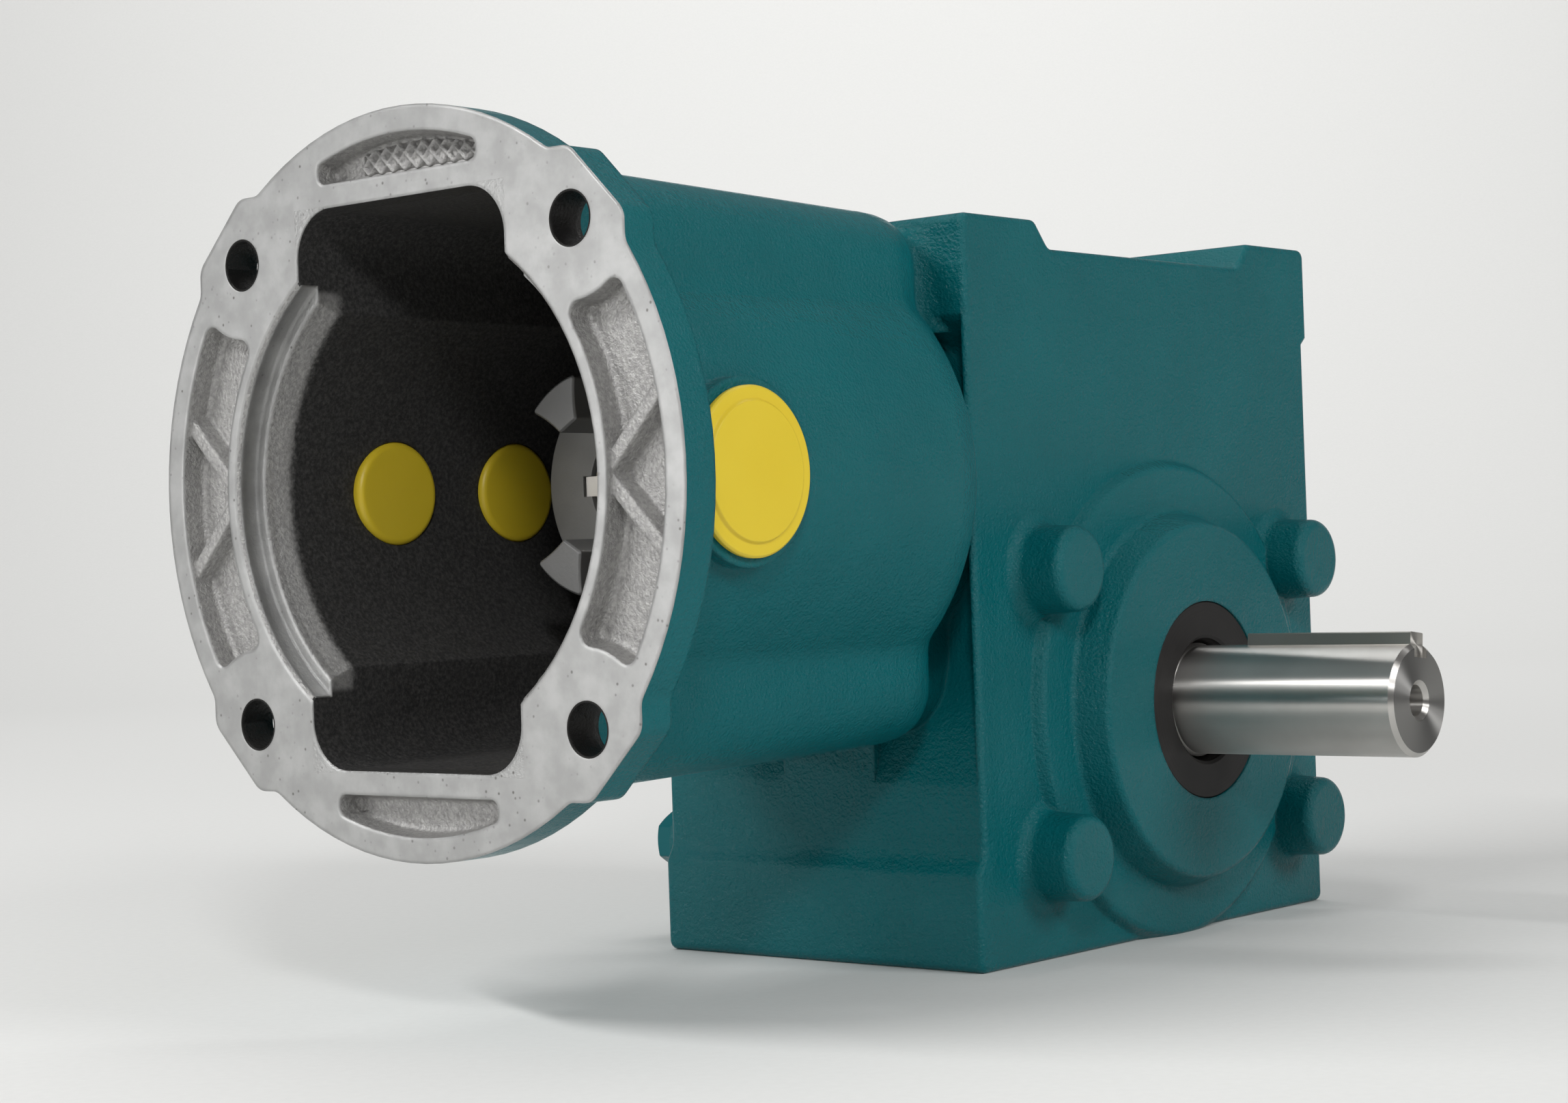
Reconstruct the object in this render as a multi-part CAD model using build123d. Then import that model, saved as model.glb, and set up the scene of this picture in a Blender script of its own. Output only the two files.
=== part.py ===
from build123d import *
import math
import os

# Worm gear reducer with a motor bell, in millimetres.
# X is the output axis, Y the input axis from motor to rear, Z is up.
# The origin is on the foot plane, straight below the crossing of the two shafts.

# Layout of the two axes
centre_distance = 60.0
output_height = 62.0
input_height = output_height + centre_distance
flange_reach = 226.0
flange_y = -flange_reach

# Motor flange, a standard face of 4.5 inch pilot and 5.875 inch bolt circle
flange_diameter = 165.1
flange_square = 136.0
flange_corner_cut = 15.0
flange_corner_round = 5.0
flange_joint_round = 4.0
flange_thickness = 9.0
pilot_diameter = 114.3
pilot_depth = 5.5
pilot_chamfer = 1.0
bolt_circle = 149.225
bolt_hole = 11.2
notch_width = 66.8
notch_height = 125.6
notch_corner = 11.0
pocket_depth = 5.5
pocket_rim = 5.55
pocket_land = 3.55
pocket_outer = flange_diameter - 2 * pocket_rim
pocket_inner = pilot_diameter + 2 * pocket_land
pocket_corner = 3.0
end_pocket_height = 9.0
end_pocket_flat = pocket_outer / 2 - end_pocket_height
end_pocket_width = 51.0
hole_boss = 17.0
pocket_draft = 10.0
pocket_floor_round = 1.2
rib_width = 6.0
rib_lean = 46.0
rib_spread = 12.5
rib_middle = 10.0
rib_drop = 1.4
rib_draft = 16.0

# Motor bell
bell_side = 61.0
bell_bulge_half_width = 45.0
bell_bulge_half_height = 68.4
bell_taper = 3.2
bell_corner = 16.0
bell_crease = 8.0
bell_straight = 119.0
bell_shoulder = 22.0
bell_neck = 48.4
bell_depth = 116.0
bell_ledge = 54.3
bell_wall_radius = 52.2
bell_draft = 1.6
bearing_tower = 38.0
tower_front = 103.0

# Gear case
near_side = 48.5
far_side = -55.5
case_front = -85.0
case_rear = 76.3
case_top = 179.4
case_wall = 8.0
case_edge = 2.5
bar_top = 186.4
bar_height = 25.5
front_bar_rear = -54.0
rear_bar_front = 48.0
bar_slope = 6.0
rear_bar_proud = 2.4
foot_height = 24.0
foot_proud = 2.5
foot_cove = 6.0
gutter_depth = 9.0
gutter_low = 46.0
gutter_ramp = 30.0
gutter_high = 161.5
gutter_slope = 8.5
gutter_round = 7.0
gutter_lip = 1.5
gutter_side = 9.5
gutter_inner = 15.0
gutter_cove = 6.0
bar_cove = 8.0
cavity_corner = 4.5
cavity_low_front = -78.5
cavity_front = -69.0
cavity_low_top = 50.0
neck_bore = 82.0
rear_boss_wall = 8.0
rear_boss_proud = 3.0

# Output bearing housings
ring_diameter = 123.6
ring_proud = 3.0
disc_diameter = 93.0
disc_face = 60.5
boss_spread_y = 58.0
boss_spread_z = 36.0
boss_diameter = 21.4
boss_face = 62.0
boss_root = 3.0
opening_diameter = 100.0

# Side cover and its four screws
cover_diameter = 123.0
cover_thickness = 6.5
cover_hub_face = -67.5
cover_hub_diameter = 90.0
cover_dish_diameter = 60.0
cover_dish = 2.5
cover_ear = 24.0
cover_boss = 19.0
cover_boss_face = -73.2
cover_nose = 76.0
screw_diameter = 9.525
screw_flats = 14.29
screw_head = 5.9
screw_engagement = 15.0
o_ring_section = 2.6
o_ring_place = -51.0

# Fits, all radial
running_clearance = 0.03
register_clearance = 0.05
screw_clearance = 0.05

# Output shaft
shaft_diameter = 28.575
shaft_end = 122.2
shaft_chamfer = 1.2
shaft_seat = 30.0
shaft_seat_end = 57.5
shaft_far_end = -53.0
wheel_seat = 35.0
collar_diameter = 44.0
collar_width = 5.0
shoulder_diameter = 36.0
spacer_diameter = 38.0
end_hole = 7.94
end_hole_depth = 22.0
end_hole_mouth = 10.4
output_key = 6.35
output_key_depth = 3.56
output_key_start = 74.0
output_key_end = 121.0
output_key_turn = 6.6

# Worm shaft
input_end_diameter = 25.4
input_start = 71.6
input_seal_seat = 28.0
input_seal_start = 98.0
input_end_reach = 1.5
worm_core = 25.0
front_shoulder = 36.0
rear_shoulder = 32.0

# Worm and wheel
module = 2.25
worm_starts = 2
wheel_teeth = 40
pressure_angle = 20.0
wheel_diameter = module * wheel_teeth
worm_diameter = 2 * centre_distance - wheel_diameter
worm_lead = math.pi * module * worm_starts
worm_length = 58.0
tooth_clearance = 0.3
tip_clearance = 0.5
rim_width = 26.0
rim_bore = 70.0
rim_diameter = 97.0
wheel_web = 18.0
hub_length = 40.0
hub_diameter = 59.0
wheel_key = 10.0
wheel_key_height = 8.0
wheel_key_sink = 5.0
wheel_key_length = 34.0

# Tapered roller bearings: bore, outside diameter, width
output_bearing = (30.0, 62.0, 16.0)
front_bearing = (30.0, 62.0, 16.0)
rear_bearing = (25.0, 52.0, 15.0)
rollers = 14
roller_slope = 12.0
roller_taper = 2.0
roller_share = 0.45
roller_length_share = 0.69
roller_gap = 0.12
cage_gap = 0.3
cage_thickness = 1.2
cage_offset = 0.2
output_bearing_inner_face = 35.5
front_bearing_front = 112.0
rear_bearing_place = 55.0
rear_bearing_front = flange_reach + rear_bearing_place

# Seals, rings, caps and plugs
output_seal = (52.0, 7.6)
input_seal = (62.0, 7.0)
seal_opening = 32.6
snap_ring_width = 1.6
snap_ring_depth = 1.4
snap_ring_gap = 14.0
rear_cap_thickness = 2.5
cap_depth = 43.0
second_cap_depth = 83.0
cap_hole = 25.0
cap_flange = 37.4
cap_flange_thickness = 2.0
cap_raise = 30.4
cap_raise_height = 0.8
cap_pad = 41.5
cap_pad_face = 61.8
cap_reach = 49.5
cap_nose_round = 1.6
plug_flats = 14.3
plug_head = 7.0
plug_thread = 13.2
plug_length = 9.0
level_plug = (-34.0, 92.0)
drain_plug = (26.0, 24.0)

# Jaw coupling half
jaw_front = 59.0
jaw_length = 12.0
coupling_diameter = 53.6
coupling_body = 25.4
jaw_inner = 16.2
jaw_half_angle = 18.0
jaw_inner_width = 6.4
jaw_hollow = 0.5
hub_key = 4.76
hub_key_sink = 2.4
set_screw = 6.0
set_screw_length = 9.0
set_screw_place = 83.7

# Foot fastening
foot_hole_x = 36.0
foot_hole_front = -62.0
foot_hole_rear = 54.0
top_hole_front = -70.0
top_hole_rear = 64.0
foot_hole = 7.94
foot_hole_depth = 14.0

OUTPUT = Location((0, 0, output_height), (0, 90, 0))
INPUT = Location((0, flange_y, input_height), (-90, 0, 0))


def turned(profile, place):
    """A turned solid: the profile is (distance along the axis, radius)."""
    outline = Polyline(*[(radius, along) for along, radius in profile], close=True)
    return place * revolve(Plane.XZ * make_face(outline), Axis.Z)


def rod(place, start, end, diameter):
    return place * Pos(0, 0, (start + end) / 2) * Cylinder(diameter / 2, end - start)


def block(x0, x1, y0, y1, z0, z1):
    return Pos((x0 + x1) / 2, (y0 + y1) / 2, (z0 + z1) / 2) * Box(x1 - x0, y1 - y0, z1 - z0)


def corners_near(sketch, test):
    return [v for v in sketch.vertices() if test(v.X, v.Y)]


def facing(depth):
    """A sketch plane square to the input axis, depth behind the flange face."""
    return Plane(origin=(0, flange_y + depth, input_height), x_dir=(1, 0, 0), z_dir=(0, -1, 0))


# Flange

def flange_outline():
    square = Rectangle(flange_square, flange_square)
    square = chamfer(square.vertices(), flange_corner_cut)
    square = fillet(square.vertices(), flange_corner_round)
    outline = Circle(flange_diameter / 2) + square
    half = flange_square / 2
    reach = math.sqrt((flange_diameter / 2) ** 2 - half**2)
    on_square = corners_near(outline, lambda x, y: abs(max(abs(x), abs(y)) - half) < 0.01)
    joints = [v for v in on_square if min(abs(v.X), abs(v.Y)) < reach + 1]
    # A circle that takes in the whole square leaves no joints to round
    return fillet(joints, flange_joint_round) if joints else outline


def pocket_band():
    return Circle(pocket_outer / 2) - Circle(pocket_inner / 2)


def bolt_places():
    return [Rot(0, 0, 45 + 90 * i) * Pos(bolt_circle / 2, 0) for i in range(4)]


def side_pocket(side):
    band = pocket_band() & (Pos(side * flange_diameter / 2, 0) * Rectangle(flange_diameter, 100))
    for place in bolt_places():
        band -= place * Circle(hole_boss)
    pocket = Sketch() + [face for face in band.faces() if abs(face.center().Y) < 5][0]
    return fillet(pocket.vertices(), pocket_corner)


def end_pocket(side):
    middle = (pocket_outer / 2 + end_pocket_flat) / 2
    strip = Pos(0, side * middle) * Rectangle(end_pocket_width, pocket_outer / 2 - end_pocket_flat)
    strip &= Circle(pocket_outer / 2)
    return fillet(strip.vertices(), pocket_corner * 0.7)


def pocket_ribs(side):
    """Two ribs that open from the middle of the inner wall to the outer wall."""
    middle = side * (pocket_inner / 2 + rib_middle)
    length = 2 * (pocket_outer - pocket_inner)
    ribs = Sketch()
    for lean in (-1, 1):
        turn = Rot(0, 0, side * lean * rib_lean)
        rib = Pos(middle, lean * rib_spread) * turn * Rectangle(length, rib_width)
        ribs += rib
    return ribs


def pocket_cut(outline):
    """A cast pocket: its walls have draft and run into the floor in a small radius."""
    cut = extrude(facing(0) * outline, -pocket_depth, taper=pocket_draft)
    floor = cut.faces().sort_by(Axis.Y)[-1]
    return fillet(floor.edges(), pocket_floor_round)


def flange_pockets():
    cuts = Part()
    for side in (-1, 1):
        rib_height = pocket_depth + 1 - rib_drop
        ribs = extrude(facing(pocket_depth + 1) * pocket_ribs(side), rib_height, taper=rib_draft)
        cuts += pocket_cut(side_pocket(side)) - ribs
        cuts += pocket_cut(end_pocket(side))
    return cuts


# Bell

def bell_outline(depth):
    """Round sides with a rounded bulge above and below, blended where they meet."""
    along = min(depth, bell_straight) / bell_straight
    setback = 0.0
    if depth > bell_straight:
        setback = bell_shoulder - math.sqrt(bell_shoulder**2 - (depth - bell_straight) ** 2)
    side = bell_side - setback
    half_width = bell_bulge_half_width - along - setback * 0.9
    half_height = bell_bulge_half_height - along * bell_taper - setback * 0.12
    outline = Circle(side) + RectangleRounded(2 * half_width, 2 * half_height, bell_corner - setback * 0.3)
    crease = math.sqrt(side**2 - half_width**2)
    joints = corners_near(outline, lambda x, y: abs(abs(y) - crease) < 0.2 and abs(x) > half_width - 0.2)
    return fillet(joints, bell_crease)


def bell_section(depth):
    return facing(depth) * bell_outline(depth)


def neck_start():
    drop = bell_side - bell_neck
    return bell_straight + math.sqrt(bell_shoulder**2 - (bell_shoulder - drop) ** 2)


def bell_outside():
    end = neck_start()
    steps = [bell_straight + (end - bell_straight) * s for s in (0.0, 0.3, 0.55, 0.75, 0.9, 1.0)]
    body = loft([bell_section(4.0), bell_section(bell_straight)], ruled=True)
    body += loft([bell_section(depth) for depth in steps])
    neck_length = case_front + gutter_depth + 1 - (flange_y + end)
    body += extrude(bell_section(end), -neck_length)
    return body


def bell_cove(wall, size, low, high):
    """Rounded inner corner where the bell's neck runs into a wall of the case."""
    neck = bell_outline(neck_start())
    sections = []
    for share in (1.0, 0.7, 0.4, 0.15, 0.0):
        grow = size - math.sqrt(size**2 - (size * (1 - share)) ** 2)
        sections.append(facing(wall - flange_y - size * share) * offset(neck, grow + 0.01))
    return loft(sections) & block(far_side, near_side, flange_y, wall, low, high)


def bell_inside():
    radius = pilot_diameter / 2
    wall = bell_wall_radius
    deep = wall - bell_draft
    bore = turned(
        [
            (-1, 0), (-1, radius + pilot_chamfer + 1), (0, radius + pilot_chamfer), (pilot_chamfer, radius),
            (pilot_depth, radius), (pilot_depth, bell_ledge), (pilot_depth + 6, wall), (bell_depth - 8, deep),
            (bell_depth, deep - 8), (bell_depth, 0),
        ],
        INPUT,
    )
    mouth = RectangleRounded(notch_width, notch_height, notch_corner)
    end = RectangleRounded(notch_width - 5, notch_height - 7, notch_corner)
    notches = loft([facing(-1) * mouth, facing(bell_depth - 4) * end], ruled=True)
    tower = turned(
        [
            (tower_front, 0), (tower_front, bearing_tower - 2), (tower_front + 2, bearing_tower),
            (bell_depth + 1, bearing_tower + 1), (bell_depth + 1, 0),
        ],
        INPUT,
    )
    return bore + notches - tower


# Gear case

def case_outline():
    """Side view of the case: two bars across the top and a foot below."""
    rear = case_rear + rear_bar_proud
    low = bar_top - bar_height
    points = [
        (case_front - foot_proud, 0), (case_rear, 0), (case_rear, low - 2), (rear, low), (rear, bar_top),
        (rear_bar_front, bar_top), (rear_bar_front - bar_slope, case_top),
        (front_bar_rear + bar_slope, case_top), (front_bar_rear, bar_top), (case_front, bar_top),
        (case_front, foot_height + 4),
        (case_front - foot_proud, foot_height),
    ]
    face = make_face(Polyline(*points, close=True))
    inner = corners_near(face, lambda y, z: z > case_top - 1 and y < rear_bar_front and y > front_bar_rear)
    face = fillet(inner, 4.0)
    face = fillet(corners_near(face, lambda y, z: abs(z - foot_height - 4) < 0.1 and y < 0), foot_cove)
    outer = corners_near(face, lambda y, z: abs(z - bar_top) < 0.1 or z < 0.1 or abs(z - foot_height) < 0.1)
    return fillet(outer, case_edge)


def case_outside():
    side_view = Plane(origin=(far_side, 0, 0), x_dir=(0, 1, 0), z_dir=(1, 0, 0))
    body = extrude(side_view * case_outline(), near_side - far_side)
    ends = body.faces().filter_by(Axis.X)
    edges = ShapeList([edge for face in ends for edge in face.outer_wire().edges()])
    return fillet(edges, case_edge - 1)


def gutters():
    """The front wall falls back beside the bell: a long ramp below, a slope under the bar, a soft lip."""
    floor = case_front + gutter_depth
    front = case_front - 1
    profile = make_face(
        Polyline(
            (front, gutter_low), (case_front, gutter_low), (floor, gutter_low + gutter_ramp),
            (floor, gutter_high - gutter_slope), (case_front, gutter_high), (front, gutter_high), close=True,
        )
    )
    profile = fillet(corners_near(profile, lambda y, z: y > floor - 0.1), gutter_round)
    plane = Plane(origin=(far_side, 0, 0), x_dir=(0, 1, 0), z_dir=(1, 0, 0))
    reach = extrude(plane * profile, near_side - far_side)
    cuts = Part()
    for side in (near_side, far_side):
        inward = -math.copysign(1, side)
        lip = side + inward * gutter_lip
        foot = lip + inward * gutter_side
        middle = (lip + inward * gutter_side * 0.3, floor - gutter_depth * 0.3)
        plan = ThreePointArc((lip, case_front), middle, (foot, floor))
        inner = -inward * gutter_inner
        plan += Polyline((foot, floor), (inner, floor), (inner, front), (lip, front), (lip, case_front))
        cuts += extrude(make_face(plan), gutter_high) & reach
    return cuts


def case_inside():
    """The gear chamber, which reaches further forward below the gutters."""
    left = far_side + case_wall
    right = near_side - case_wall + 0.5
    rear = case_rear - case_wall
    top = case_top - case_wall
    outline = Polyline(
        (cavity_low_front, case_wall), (rear, case_wall), (rear, top), (cavity_front, top),
        (cavity_front, cavity_low_top), (cavity_low_front, cavity_low_top), close=True,
    )
    side_view = make_face(outline)
    side_view = fillet(side_view.vertices(), cavity_corner)
    plane = Plane(origin=(left, 0, 0), x_dir=(0, 1, 0), z_dir=(1, 0, 0))
    inner = extrude(plane * side_view, right - left)
    neck = front_bearing_front + front_bearing[2] + 5.0
    inner += rod(INPUT, neck, cavity_front - flange_y + 1.0, neck_bore)
    return inner


def near_housing():
    """Ring, raised disc and their soft edges on the output side."""
    ring = ring_diameter / 2
    disc = disc_diameter / 2
    face = near_side + ring_proud
    outline = Polyline(
        (0, near_side - case_wall), (ring + 2.5, near_side - case_wall), (ring + 2.5, near_side - 0.5),
        (ring + 1.8, near_side + 0.2), (ring, face), (disc + 3.2, face), (disc, disc_face), (0, disc_face),
        close=True,
    )
    shape = make_face(outline)
    edges = corners_near(shape, lambda r, x: r > 1 and x > near_side + 0.5)
    return OUTPUT * revolve(Plane.XZ * fillet(edges, 1.8), Axis.Z)


def near_bosses():
    radius = boss_diameter / 2
    outline = Polyline(
        (0, near_side - 4), (radius + boss_root + 0.6, near_side - 4), (radius + boss_root + 0.6, near_side),
        (radius + 0.6, near_side + 1.2), (radius, boss_face), (0, boss_face), close=True,
    )
    shape = make_face(outline)
    shape = fillet(corners_near(shape, lambda r, x: r > 1 and x > boss_face - 1), 2.5)
    shape = fillet(corners_near(shape, lambda r, x: abs(x - near_side - 1.2) < 0.1), boss_root)
    boss = revolve(Plane.XZ * shape, Axis.Z)
    return Part() + [place * boss for place in corner_places()]


def cap_places():
    """Depth and side of each access hole in the bell."""
    return [(cap_depth, 1), (cap_depth, -1), (second_cap_depth, -1)]


def cap_axis(depth, side):
    return Location((0, flange_y + depth, input_height), (0, 90 * side, 0))


def foot_places():
    return [Pos(x, y, 0) for x in (-foot_hole_x, foot_hole_x) for y in (foot_hole_front, foot_hole_rear)]


def top_places():
    return [Pos(x, y, bar_top) for x in (-foot_hole_x, foot_hole_x) for y in (top_hole_front, top_hole_rear)]


def plug_places():
    """Oil plugs: filler on top, level and drain in the rear wall."""
    return [
        Location((0, 0, case_top), (0, 0, 0)),
        Location((level_plug[0], case_rear, level_plug[1]), (-90, 0, 0)),
        Location((drain_plug[0], case_rear, drain_plug[1]), (-90, 0, 0)),
    ]


def corner_places():
    """The four bosses round the output axis, as places on that axis."""
    corners = [(y, z) for y in (-boss_spread_y, boss_spread_y) for z in (-boss_spread_z, boss_spread_z)]
    return [OUTPUT * Pos(-z, y, 0) for y, z in corners]


def housing():
    body = case_outside() - gutters()
    body += bell_outside()
    body += bell_cove(case_front + gutter_depth, gutter_cove, gutter_low, gutter_high)
    body += bell_cove(case_front, bar_cove, gutter_high - gutter_slope / 2, bar_top - case_edge)
    body += extrude(facing(0) * flange_outline(), -flange_thickness)
    body += near_housing() + near_bosses()
    for depth, side in cap_places():
        body += rod(cap_axis(depth, side), bell_wall_radius - 1, cap_pad_face, cap_pad)
    rear_boss = rear_bearing[1] + 2 * rear_boss_wall
    body += rod(INPUT, flange_reach, flange_reach + case_rear + rear_boss_proud, rear_boss)
    body -= case_inside()
    bearing = output_bearing_inner_face
    body += rod(OUTPUT, bearing - 2, near_side, output_bearing[1] + 14)
    body += rod(INPUT, rear_bearing_front - 3, flange_reach + case_rear, rear_bearing[1] + 14)
    body -= bell_inside()
    body -= flange_pockets()
    for place in bolt_places():
        body -= extrude(facing(-1) * place * Circle(bolt_hole / 2), -flange_thickness - 20)
    for depth, side in cap_places():
        body -= rod(cap_axis(depth, side), 40.0, cap_pad_face + 1, cap_hole)
    # Seats for the output side
    body -= rod(OUTPUT, bearing - 3, bearing + output_bearing[2], output_bearing[1] + 2 * register_clearance)
    body -= rod(OUTPUT, bearing, disc_face - 2, output_bearing[1] - 14)
    seal_seat = output_seal[0] + 2 * running_clearance
    body -= rod(OUTPUT, disc_face - output_seal[1] - 0.3, disc_face + 1, seal_seat)
    body -= rod(OUTPUT, far_side - 1, far_side + case_wall + 1, opening_diameter)
    # Seats for the input side
    front_end = front_bearing_front + front_bearing[2]
    body -= rod(INPUT, tower_front - 1, front_end, front_bearing[1] + 2 * register_clearance)
    body -= rod(INPUT, front_end - 1, front_end + 8, front_bearing[1] - 10)
    rear_seat = rear_bearing[1] + 2 * register_clearance
    body -= rod(INPUT, rear_bearing_front, flange_reach + case_rear + 4, rear_seat)
    body -= rod(INPUT, rear_bearing_front - 6, rear_bearing_front + 1, rear_bearing[1] - 9)
    for groove, bore in snap_grooves():
        body -= rod(INPUT, groove, groove + snap_ring_width + 0.1, bore + 2 * snap_ring_depth + 0.3)
    for place in foot_places():
        body -= place * Pos(0, 0, foot_hole_depth / 2 - 0.5) * Cylinder(foot_hole / 2, foot_hole_depth + 1)
    for place in top_places():
        body -= place * Pos(0, 0, -foot_hole_depth / 2 + 0.5) * Cylinder(foot_hole / 2, foot_hole_depth + 1)
    for place in plug_places():
        body -= rod(place, -20, 4, plug_thread + 2 * screw_clearance)
    tapped = screw_diameter + 2 * screw_clearance
    for place in corner_places():
        body -= rod(place, far_side - 1, far_side + screw_engagement + 2, tapped)
    below = block(-200, 200, -300, 200, -20, 0)
    return body - below


# Side cover

def side_cover():
    disc = cover_diameter / 2
    plate = Circle(disc)
    for y in (-boss_spread_y, boss_spread_y):
        for z in (-boss_spread_z, boss_spread_z):
            plate += Pos(z, y) * Circle(cover_ear / 2)
    plate = fillet(corners_near(plate, lambda x, y: math.hypot(x, y) < disc + 0.1), 5.0)
    body = OUTPUT * Pos(0, 0, far_side) * extrude(plate, -cover_thickness)
    outer = far_side - cover_thickness
    hub = cover_hub_diameter / 2
    body += turned(
        [
            (outer + 1, 0), (outer + 1, hub + 3), (outer, hub + 3), (outer - 1, hub + 1),
            (cover_hub_face + 1.5, hub), (cover_hub_face, hub - 1.5),
            (cover_hub_face, cover_dish_diameter / 2),
            (cover_hub_face + cover_dish, cover_dish_diameter / 2 - 2), (cover_hub_face + cover_dish, 0),
        ],
        OUTPUT,
    )
    boss = cover_boss / 2
    for place in corner_places():
        body += turned(
            [
                (outer + 1, 0), (outer + 1, boss + 2), (outer, boss + 2), (outer - 1.5, boss + 0.6),
                (cover_boss_face + 0.8, boss), (cover_boss_face, boss - 0.8), (cover_boss_face, 0),
            ],
            place,
        )
    spigot = opening_diameter / 2 - register_clearance
    inner = far_side + case_wall
    nose = cover_nose / 2
    end = -output_bearing_inner_face
    body += turned(
        [
            (far_side - 1, 0), (far_side - 1, spigot), (inner - 1, spigot), (inner, spigot - 1),
            (inner, nose + 2), (inner + 2, nose), (end - 0.8, nose), (end, nose - 0.8), (end, 0),
        ],
        OUTPUT,
    )
    body -= rod(OUTPUT, end - output_bearing[2], end + 1, output_bearing[1] + 2 * register_clearance)
    body -= rod(OUTPUT, end - output_bearing[2] - 4.5, end, output_bearing[1] - 14)
    groove = opening_diameter / 2 - o_ring_section - 2 * register_clearance
    half = o_ring_section / 2 + 0.3
    ring = rod(OUTPUT, o_ring_place - half, o_ring_place + half, opening_diameter + 4)
    body -= ring - rod(OUTPUT, o_ring_place - 9, o_ring_place + 9, 2 * groove)
    for place in corner_places():
        body -= rod(place, cover_boss_face - 1, far_side + 1, screw_diameter + 0.8)
    return body


def o_ring():
    section = o_ring_section / 2
    centre = opening_diameter / 2 - section - register_clearance
    return OUTPUT * Pos(0, 0, o_ring_place) * Torus(centre, section)


def hex_screw(place, seat, flats, head, diameter, length):
    """A hexagon head screw; its head grows towards negative z of the place."""
    corner = flats / math.sqrt(3)
    prism = extrude(RegularPolygon(corner, 6), -head)
    wide = corner + 1
    bevel = [(1, 0), (1, wide), (-head + 1.2, wide), (-head, flats / 2 - 0.3), (-head, 0)]
    cap = turned(bevel, Pos(0, 0, 0))
    radius = diameter / 2
    point = [(length - 1, radius), (length, radius - 1), (length, 0)]
    shank = turned([(-1, 0), (-1, radius)] + point, Pos(0, 0, 0))
    washer = rod(Pos(0, 0, 0), -0.4, 0, flats - 0.3)
    head_part = (prism & cap) - rod(Pos(0, 0, 0), -0.4, 1, 40)
    return place * Pos(0, 0, seat) * (head_part + washer + shank)


def cover_screws():
    length = far_side + screw_engagement - cover_boss_face
    return [
        hex_screw(place, cover_boss_face, screw_flats, screw_head, screw_diameter, length)
        for place in corner_places()
    ]


def oil_plugs():
    plugs = []
    for place in plug_places():
        flip = place * Rot(180, 0, 0)
        plugs.append(hex_screw(flip, 0, plug_flats, plug_head, plug_thread, plug_length))
    return plugs


# Shafts

def output_shaft():
    radius = shaft_diameter / 2
    seat = shaft_seat / 2
    wheel = wheel_seat / 2
    half = hub_length / 2
    collar_end = half + collar_width
    body = turned(
        [
            (shaft_far_end, 0), (shaft_far_end, seat - 1), (shaft_far_end + 1, seat), (0.5 - half, seat),
            (0.5 - half, wheel), (half, wheel), (half, collar_diameter / 2),
            (collar_end, collar_diameter / 2), (collar_end, shoulder_diameter / 2),
            (output_bearing_inner_face, shoulder_diameter / 2),
            (output_bearing_inner_face, seat), (shaft_seat_end, seat), (shaft_seat_end + 1, radius),
            (shaft_end - shaft_chamfer, radius), (shaft_end, radius - shaft_chamfer), (shaft_end, 0),
        ],
        OUTPUT,
    )
    mouth = end_hole_mouth / 2
    hole = end_hole / 2
    start = shaft_end - end_hole_depth
    body -= turned(
        [
            (start - 2, 0), (start, hole), (shaft_end - mouth + hole, hole), (shaft_end + 0.1, mouth + 0.1),
            (shaft_end + 0.1, 0),
        ],
        OUTPUT,
    )
    floor = output_height + radius - output_key_depth
    side = output_key / 2 + running_clearance
    keyway = block(output_key_start - 0.2, shaft_end + 1, -side, side, floor, floor + 20)
    body -= turn_key(keyway)
    floor = output_height + wheel - wheel_key_sink
    side = wheel_key / 2 + running_clearance
    reach = wheel_key_length / 2 + 0.2
    body -= block(-reach, reach, -side, side, floor, floor + 20)
    return body


def turn_key(shape):
    lift = Pos(0, 0, output_height)
    return lift * Rot(-output_key_turn, 0, 0) * lift.inverse() * shape


def shaft_key():
    radius = shaft_diameter / 2
    floor = output_height + radius - output_key_depth + running_clearance
    side = output_key / 2
    key = block(output_key_start, output_key_end, -side, side, floor, floor + output_key)
    return turn_key(chamfer(key.edges().filter_by(Axis.X).group_by(Axis.Z)[-1], 0.3))


def wheel_drive_key():
    floor = output_height + wheel_seat / 2 - wheel_key_sink + running_clearance
    reach = wheel_key_length / 2
    side = wheel_key / 2
    return block(-reach, reach, -side, side, floor, floor + wheel_key_height)


def wheel_spacer():
    start = -output_bearing_inner_face + 0.02
    end = -hub_length / 2 - 0.02
    sleeve = rod(OUTPUT, start, end, spacer_diameter)
    return sleeve - rod(OUTPUT, start - 1, end + 1, shaft_seat + 2 * running_clearance)


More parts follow.
